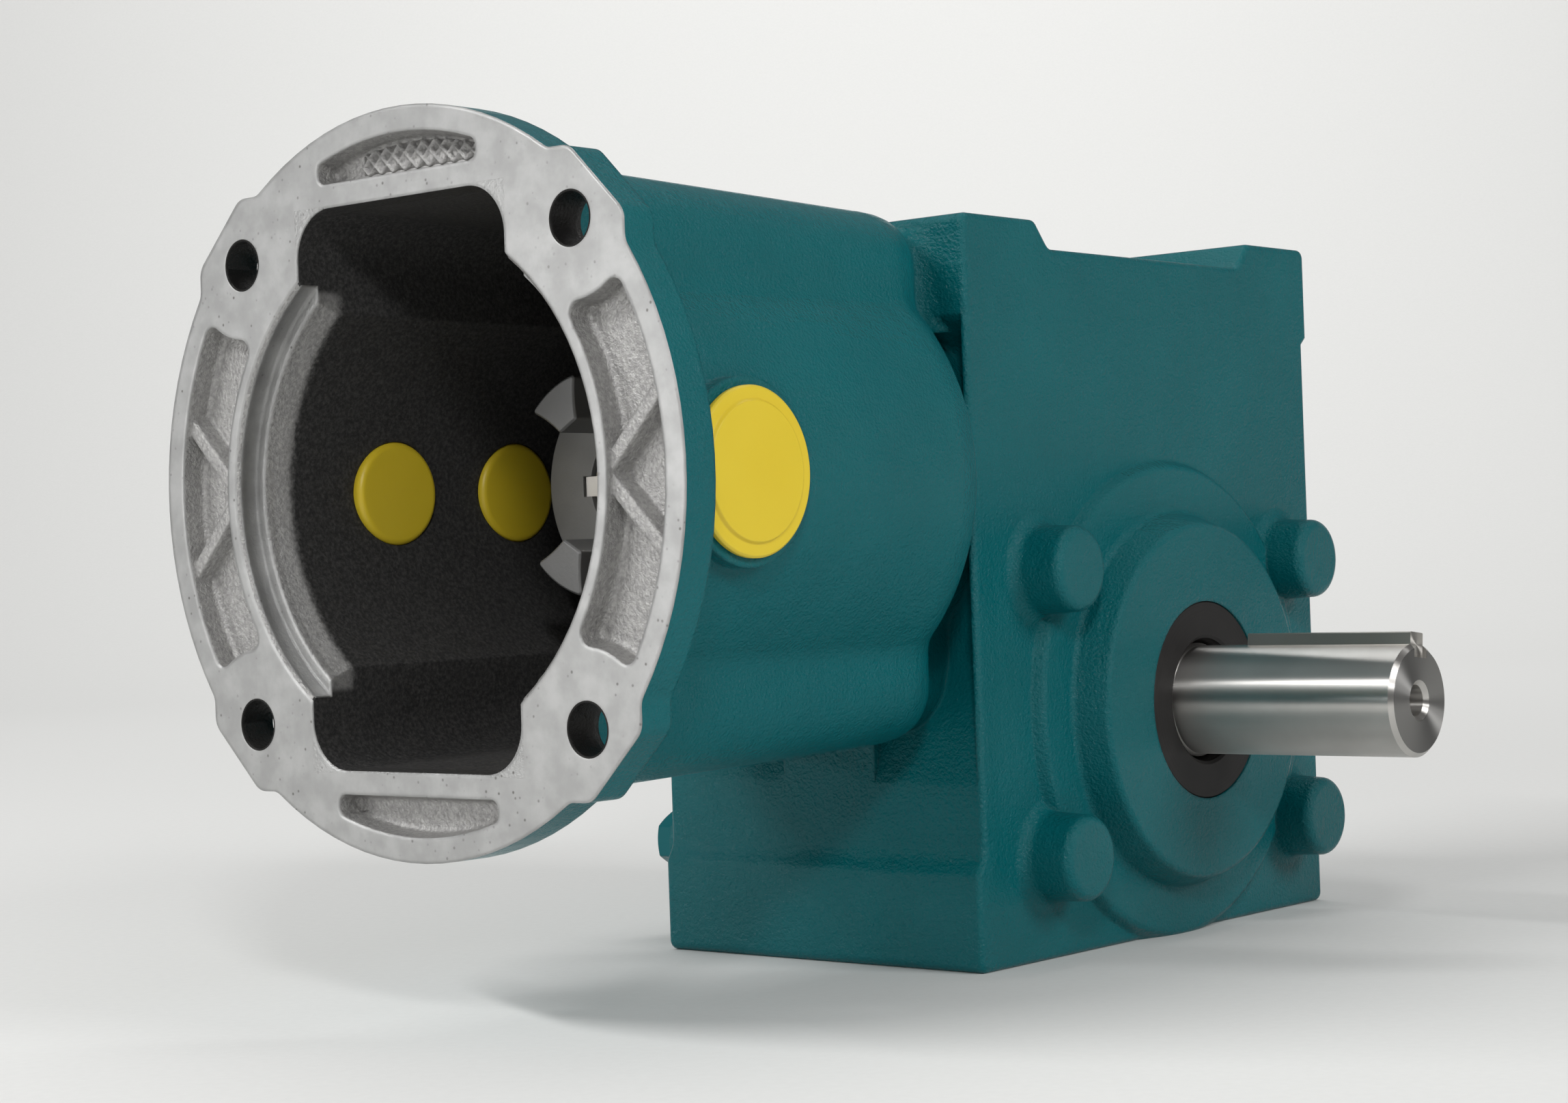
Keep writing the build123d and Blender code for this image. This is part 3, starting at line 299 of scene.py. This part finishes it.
# Hatched tile in the top pocket: the sand core left crossed ridges on the pocket's floor, with a plain
# rough stretch at its left end. It is bare iron, cast in one with the case, and has the case's finish.
tile_left = -15.8 * MM
tile_right = 24.0 * MM
tile_low = 69.2 * MM
tile_reach = 75.6 * MM
tile_corner = 1.6 * MM
tile_floor = 5.5 * MM
tile_proud = 0.1 * MM
tile_root = 0.3 * MM
tile_step = 0.2 * MM
ridge_angle = math.radians(44.0)
ridge_pitch = 2.7 * MM
ridge_half_width = 0.36 * MM
ridge_height = 0.9 * MM
second_ridge_share = 0.75


def ridge(across, up, way):
    """Height of one set of ridges at a point, from 0 between them to 1 along their crests."""
    place = (across * math.sin(ridge_angle) + way * up * math.cos(ridge_angle)) / ridge_pitch
    off = abs(place - round(place)) * ridge_pitch
    return math.exp(-((off / ridge_half_width) ** 2))


def hatched_tile():
    """A closed piece: the ridged face, walls that reach into the pocket's floor, and a back."""
    mesh = bmesh.new()
    columns = round((tile_right - tile_left) / tile_step)
    rows = round((tile_reach - tile_low) / tile_step)
    grid = []
    for i in range(columns + 1):
        across = tile_left + (tile_right - tile_left) * i / columns
        to_end = min(tile_right - across, tile_corner)
        cut = tile_corner - math.sqrt(max(tile_corner**2 - (tile_corner - to_end) ** 2, 0))
        low = tile_low + cut
        high = math.sqrt(tile_reach**2 - across**2) - cut
        column = []
        for j in range(rows + 1):
            up = low + (high - low) * j / rows
            crest = max(ridge(across, up, 1), second_ridge_share * ridge(across, up, -1))
            depth = tile_floor - tile_proud - crest * ridge_height
            if min(i, columns - i, j, rows - j) == 0:
                depth = tile_floor + tile_root
            column.append(mesh.verts.new((across, face_y + depth, input_height + up)))
        grid.append(column)
    for i in range(columns):
        for j in range(rows):
            mesh.faces.new((grid[i][j], grid[i + 1][j], grid[i + 1][j + 1], grid[i][j + 1]))
    left, right = grid[0], grid[-1]
    top = [column[-1] for column in grid]
    bottom = [column[0] for column in grid]
    mesh.faces.new(left[:-1] + top[:-1] + right[:0:-1] + bottom[:0:-1])
    bmesh.ops.recalc_face_normals(mesh, faces=mesh.faces)
    data = bpy.data.meshes.new("hatched_pocket_tile")
    mesh.to_mesh(data)
    mesh.free()
    data.polygons.foreach_set("use_smooth", [True] * len(data.polygons))
    tile = bpy.data.objects.new("hatched_pocket_tile", data)
    bpy.context.collection.objects.link(tile)
    return tile


tile = hatched_tile()
cover(tile, cast_iron)
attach(tile, "case")


# Side cover, its four hexagon screws and the oil plugs: they are sprayed with the case, so they carry
# the same teal enamel. The cover is sand cast, held by the screws, and shows its grain; the screws and
# plugs are smooth steel, on which the enamel only ripples.
small_enamel_patch = 35.71 * MM
small_edge_radius = 0.78 * MM
cover_sand_depth = 0.5 * MM
ripple_span = 2.2 * MM
ripple_depth = 0.05 * MM


def enamel_finish(name, grain, depth):
    """Teal enamel on a piece of one skin, which stands up by the depth of its grain."""
    material, tree, place = new_material(name)
    finish_material(
        tree, Base_Color=mottled(tree, place, small_enamel_patch, thin_enamel, thick_enamel, 4.0),
        Roughness=enamel_roughness, Specular_IOR_Level=enamel_specular,
        Normal=skin_relief(tree, sand_relief(tree, place, grain), depth, 1.0, small_edge_radius),
    )
    return material


cover(nodes["side_cover"], enamel_finish("enamel_on_cast_cover", sand_grain, cover_sand_depth))
enamel_on_steel = enamel_finish("enamel_on_steel_screws", ripple_span, ripple_depth)
for name in ("cover_screws", "oil_plugs"):
    cover(nodes[name], enamel_on_steel)


# Output shaft and the keys: carbon steel. The shaft is turned and ground, so fine lines run round it
# and draw each highlight out along it; its end was only faced off and is duller. The keys are cold
# drawn and pressed into their keyways.
output_height = 62 * MM
shaft_face = 122.1 * MM
axis_offset = {"X": (0, 0, -output_height), "Y": (0, 0, -input_height)}
steel_stain = 14.29 * MM
line_depth = 0.02 * MM
faced_steel = "#908f8d"
faced_roughness = 0.45


def round_axis(tree, place, axis):
    """Distance along a shaft's axis, and distance from it."""
    centre = add(tree, "Mapping", {"Vector": place, "Location": axis_offset[axis]})
    axes = add(tree, "SeparateXYZ", {0: centre})
    first, second = (axes.outputs[side] for side in "XYZ" if side != axis)
    across = add(tree, "CombineXYZ", {"X": first, "Y": second})
    return axes.outputs[axis], add(tree, "VectorMath", {0: across}, operation="LENGTH")


def turned_metal(name, dark, light, roughness, line_pitch, axis, faced_from=None):
    """Metal with fine lines round an axis, and a duller end face from faced_from on. The lines are drawn
    a few times as coarse as the real ones, so that they show."""
    material, tree, place = new_material(name)
    along, radius = round_axis(tree, place, axis)
    path = add(tree, "Math", {0: along, 1: radius}, operation="ADD")
    inputs = {"W": path, "Scale": 1 / line_pitch, "Detail": 4.0}
    lines = add(tree, "TexNoise", inputs, noise_dimensions="1D")
    base = mottled(tree, place, steel_stain, dark, light, 4.0)
    gloss = add(tree, "MapRange", {
        "Value": lines, "From Min": 0.3, "From Max": 0.7,
        "To Min": roughness * 0.92, "To Max": roughness * 1.12,
    })
    if faced_from:
        faced = add(tree, "Math", {0: along, 1: faced_from}, operation="GREATER_THAN")
        base = add(tree, "Mix", {0: faced, 6: base, 7: faced_steel}, data_type="RGBA")
        gloss = add(tree, "Mix", {0: faced, 2: gloss, 3: faced_roughness})
    finish_material(
        tree, Base_Color=base, Roughness=gloss, Metallic=1.0,
        Anisotropic=0.96, Anisotropic_Rotation=0.25,
        Tangent=add(tree, "Tangent", direction_type="RADIAL", axis=axis),
        Normal=add(tree, "Bump", {"Strength": 0.05, "Distance": line_depth, "Height": lines}),
    )
    return material


ground_steel = turned_metal(
    "ground_shaft_steel", dark="#bdbab6", light="#d4d2ce", roughness=0.33, line_pitch=0.22 * MM,
    axis="X", faced_from=shaft_face,
)
cover(nodes["output_shaft"], ground_steel)

key_steel = turned_metal(
    "drawn_key_steel", dark="#aeaba6", light="#c3c0ba", roughness=0.42, line_pitch=0.3 * MM, axis="X"
)
for name in ("output_key", "wheel_key", "coupling_key"):
    cover(nodes[name], key_steel)


# Worm and worm wheel, sealed in the case and run in oil: the worm is cut on its steel shaft, hardened
# and ground bright, and a turned bronze rim is shrunk on a duller iron hub. The spacer, snap rings and
# set screw are bought parts, dark with black oxide.
worm_steel = turned_metal(
    "ground_worm_steel", dark="#9d9b97", light="#bdbab5", roughness=0.25, line_pitch=0.22 * MM, axis="Y"
)
cover(nodes["worm_shaft"], worm_steel)
bronze = turned_metal(
    "turned_gear_bronze", dark="#a87743", light="#c08f55", roughness=0.3, line_pitch=0.3 * MM, axis="X"
)
cover(nodes["worm_wheel_rim"], bronze)
hub_iron = turned_metal(
    "turned_hub_iron", dark="#6d6c6a", light="#858481", roughness=0.42, line_pitch=0.3 * MM, axis="X"
)
cover(nodes["worm_wheel_hub"], hub_iron)
black_steel = turned_metal(
    "black_oxide_steel", dark="#2c2b2a", light="#3a3938", roughness=0.4, line_pitch=0.4 * MM, axis="X"
)
for name in ("wheel_spacer", "front_snap_ring", "rear_snap_ring", "hub_set_screw"):
    cover(nodes[name], black_steel)


# Bearings: four tapered roller bearings, each a cup pressed in the case, a cone pressed on the shaft,
# rollers and a cage. The steel is hardened and finely ground, so its highlights are the sharpest.
for group, axis, sides in (("output", "X", ("near", "far")), ("worm", "Y", ("front", "rear"))):
    race_steel = turned_metal(
        f"ground_{group}_race_steel", dark="#a9a8a5", light="#c4c3bf", roughness=0.18,
        line_pitch=0.15 * MM, axis=axis,
    )
    for side in sides:
        for ring in ("cup", "cone", "rollers", "cage"):
            cover(nodes[f"{group}_{side}_{ring}"], race_steel)


# Shaft seals, end cap and the cover's O-ring: moulded nitrile rubber, which covers the steel of seals
# and cap; these are pressed into their bores. It is dark grey-brown and satin, with faint circles left
# by the mould and a slight bloom.
mould_ring = 0.9 * MM
bloom_patch = 8.33 * MM
mould_depth = 0.08 * MM


def moulded_nitrile(name, axis):
    material, tree, place = new_material(name)
    radius = round_axis(tree, place, axis)[1]
    inputs = {"W": radius, "Scale": 1 / mould_ring, "Detail": 2.0}
    rings = add(tree, "TexNoise", inputs, noise_dimensions="1D")
    bloom = add(tree, "TexNoise", {"Vector": place, "Scale": 1 / bloom_patch, "Detail": 5.0})
    tall = add(tree, "Math", {0: rings, 1: bloom}, operation="ADD")
    finish_material(
        tree, Base_Color=add(tree, "Mix", {0: bloom, 6: "#1b1a1a", 7: "#282625"}, data_type="RGBA"),
        Roughness=0.5, Specular_IOR_Level=0.25,
        Normal=add(tree, "Bump", {"Strength": 0.3, "Distance": mould_depth, "Height": tall}),
    )
    return material


for name, axis, pieces in (
    ("moulded_nitrile_output", "X", ("output_seal", "cover_o_ring")),
    ("moulded_nitrile_input", "Y", ("input_seal", "rear_end_cap")),
):
    nitrile = moulded_nitrile(name, axis)
    for piece in pieces:
        cover(nodes[piece], nitrile)


# Coupling half on the worm shaft: pressed and sintered iron powder, held by its key and set screw. It
# is a dull grey with fine open pores, drawn some five times as coarse as real ones, so that they show;
# they keep its highlights soft.
pore_size = 0.7 * MM
powder_stain = 12.5 * MM
pore_depth = 0.1 * MM
pressed_edge_radius = 0.4 * MM

sintered_iron, tree, place = new_material("sintered_iron")
pores = add(tree, "TexNoise", {"Vector": place, "Scale": 1 / pore_size, "Detail": 3.0})
finish_material(
    tree, Base_Color=mottled(tree, place, powder_stain, "#6c6c6b", "#888887", 4.0),
    Roughness=0.48, Metallic=0.6,
    Normal=skin_relief(tree, pores, pore_depth, 0.35, pressed_edge_radius),
)
cover(nodes["coupling_hub"], sintered_iron)


# Access caps in the bell: soft yellow polyethylene, injection moulded and pushed into their holes. The
# skin is smooth, and the light goes a little way in, which keeps their shadows warm.
flow_patch = 22.22 * MM
skin_ripple = 3.846 * MM
skin_depth = 0.1 * MM
cap_edge_radius = 0.5 * MM
light_reach = (4 * MM, 3 * MM, 1 * MM)

yellow_cap, tree, place = new_material("moulded_polyethylene")
ripple = add(tree, "TexNoise", {"Vector": place, "Scale": 1 / skin_ripple, "Detail": 2.0})
finish_material(
    tree, Base_Color=mottled(tree, place, flow_patch, "#dcc02a", "#e3c937", 3.0),
    Roughness=0.38, Normal=skin_relief(tree, ripple, skin_depth, 0.12, cap_edge_radius),
    Subsurface_Weight=0.12, Subsurface_Radius=light_reach, Subsurface_Scale=0.5,
)
for name in ("access_cap_near", "access_caps_far"):
    cover(nodes[name], yellow_cap)


# Studio: a sheet of pale, matt paper that the case stands on and that curves up behind it. Two strips
# in front draw the lines on the shaft; a small lamp stands beside the camera, one at the right, and
# one lights the sheet. The camera is the photograph's.
view_azimuth = math.radians(40.36)
sheet_front = 4.0
sheet_half_width = 6.0
sweep_start = 1.6
sweep_radius = 1.5
sweep_end = 72
sweep_step = 6
paper_fibre = 2.5 * MM
fill_strength = 0.15


def swept_sheet(name, profile, half, turn):
    """A sheet of the given profile (distance behind the object, height), wide to both sides."""
    mesh = bpy.data.meshes.new(name)
    corners = [(side * half, far, high) for far, high in profile for side in (-1, 1)]
    faces = [(2 * i, 2 * i + 1, 2 * i + 3, 2 * i + 2) for i in range(len(profile) - 1)]
    mesh.from_pydata(corners, [], faces)
    mesh.polygons.foreach_set("use_smooth", [True] * len(faces))
    sheet = bpy.data.objects.new(name, mesh)
    sheet.rotation_euler = (0, 0, turn)
    bpy.context.collection.objects.link(sheet)
    return sheet


profile = [(-sheet_front, 0.0)]
for degrees in range(0, sweep_end + 1, sweep_step):
    lean = math.radians(degrees)
    profile.append((sweep_start + sweep_radius * math.sin(lean), sweep_radius * (1 - math.cos(lean))))
backdrop = swept_sheet("studio_sheet", profile, sheet_half_width, view_azimuth)
paper, tree, place = new_material("pale_paper")
tone = mottled(tree, place, paper_fibre, "#dededc", "#e4e4e2", 3.0)
finish_material(tree, Base_Color=tone, Roughness=0.9)
cover(backdrop, paper)

world = bpy.data.worlds.new("studio")
bpy.context.scene.world = world
world.use_nodes = True
tree = world.node_tree
tree.nodes.clear()
fill = add(tree, "Background", {"Color": "#ffffff", "Strength": fill_strength})
add(tree, "OutputWorld", {"Surface": fill})


def soft_lamp(name, place, aim, size, watts):
    lamp = bpy.data.lights.new(name, "AREA")
    lamp.shape = "RECTANGLE"
    lamp.size, lamp.size_y = size
    lamp.energy = watts
    holder = bpy.data.objects.new(name, lamp)
    holder.location = place
    holder.rotation_euler = (Vector(aim) - Vector(place)).to_track_quat("-Z", "Y").to_euler()
    bpy.context.collection.objects.link(holder)


middle = (0.0, -0.08, 0.1)
soft_lamp("strip_low", (-0.6, -1.45, 0.24), middle, (1.1, 0.06), 4)
soft_lamp("strip_high", (-0.45, -1.12, 1.0), middle, (1.1, 0.07), 13)
soft_lamp("lamp_front", (0.8, -1.0, 0.72), middle, (0.16, 0.16), 5)
soft_lamp("lamp_right", (1.6, 0.1, 0.9), middle, (0.6, 0.6), 12)
soft_lamp("lamp_backdrop", (-0.6, 0.9, 2.4), (-1.9, 2.4, 0.6), (2.5, 1.0), 58)

view_pitch = math.radians(0.18)
view_roll = math.radians(-2.04)
view_place = Vector((469.3, -651.7, 102.6)) * MM
lens_pixels = 4223.24
photo_width = 2296

forward = Vector((
    -math.sin(view_azimuth) * math.cos(view_pitch),
    math.cos(view_azimuth) * math.cos(view_pitch),
    math.sin(view_pitch),
))
level = Vector((math.cos(view_azimuth), math.sin(view_azimuth), 0))
upright = level.cross(forward)
right = math.cos(view_roll) * level + math.sin(view_roll) * upright
up = math.cos(view_roll) * upright - math.sin(view_roll) * level
lens = bpy.data.cameras.new("camera")
lens.sensor_fit = "HORIZONTAL"
lens.sensor_width = 36.0
lens.lens = lens_pixels / photo_width * lens.sensor_width
lens.clip_start = 10 * MM
camera = bpy.data.objects.new("camera", lens)
turn = Matrix((right, up, -forward)).transposed().to_4x4()
camera.matrix_world = Matrix.Translation(view_place) @ turn
bpy.context.collection.objects.link(camera)
bpy.context.scene.camera = camera
bpy.context.scene.view_settings.view_transform = "Standard"
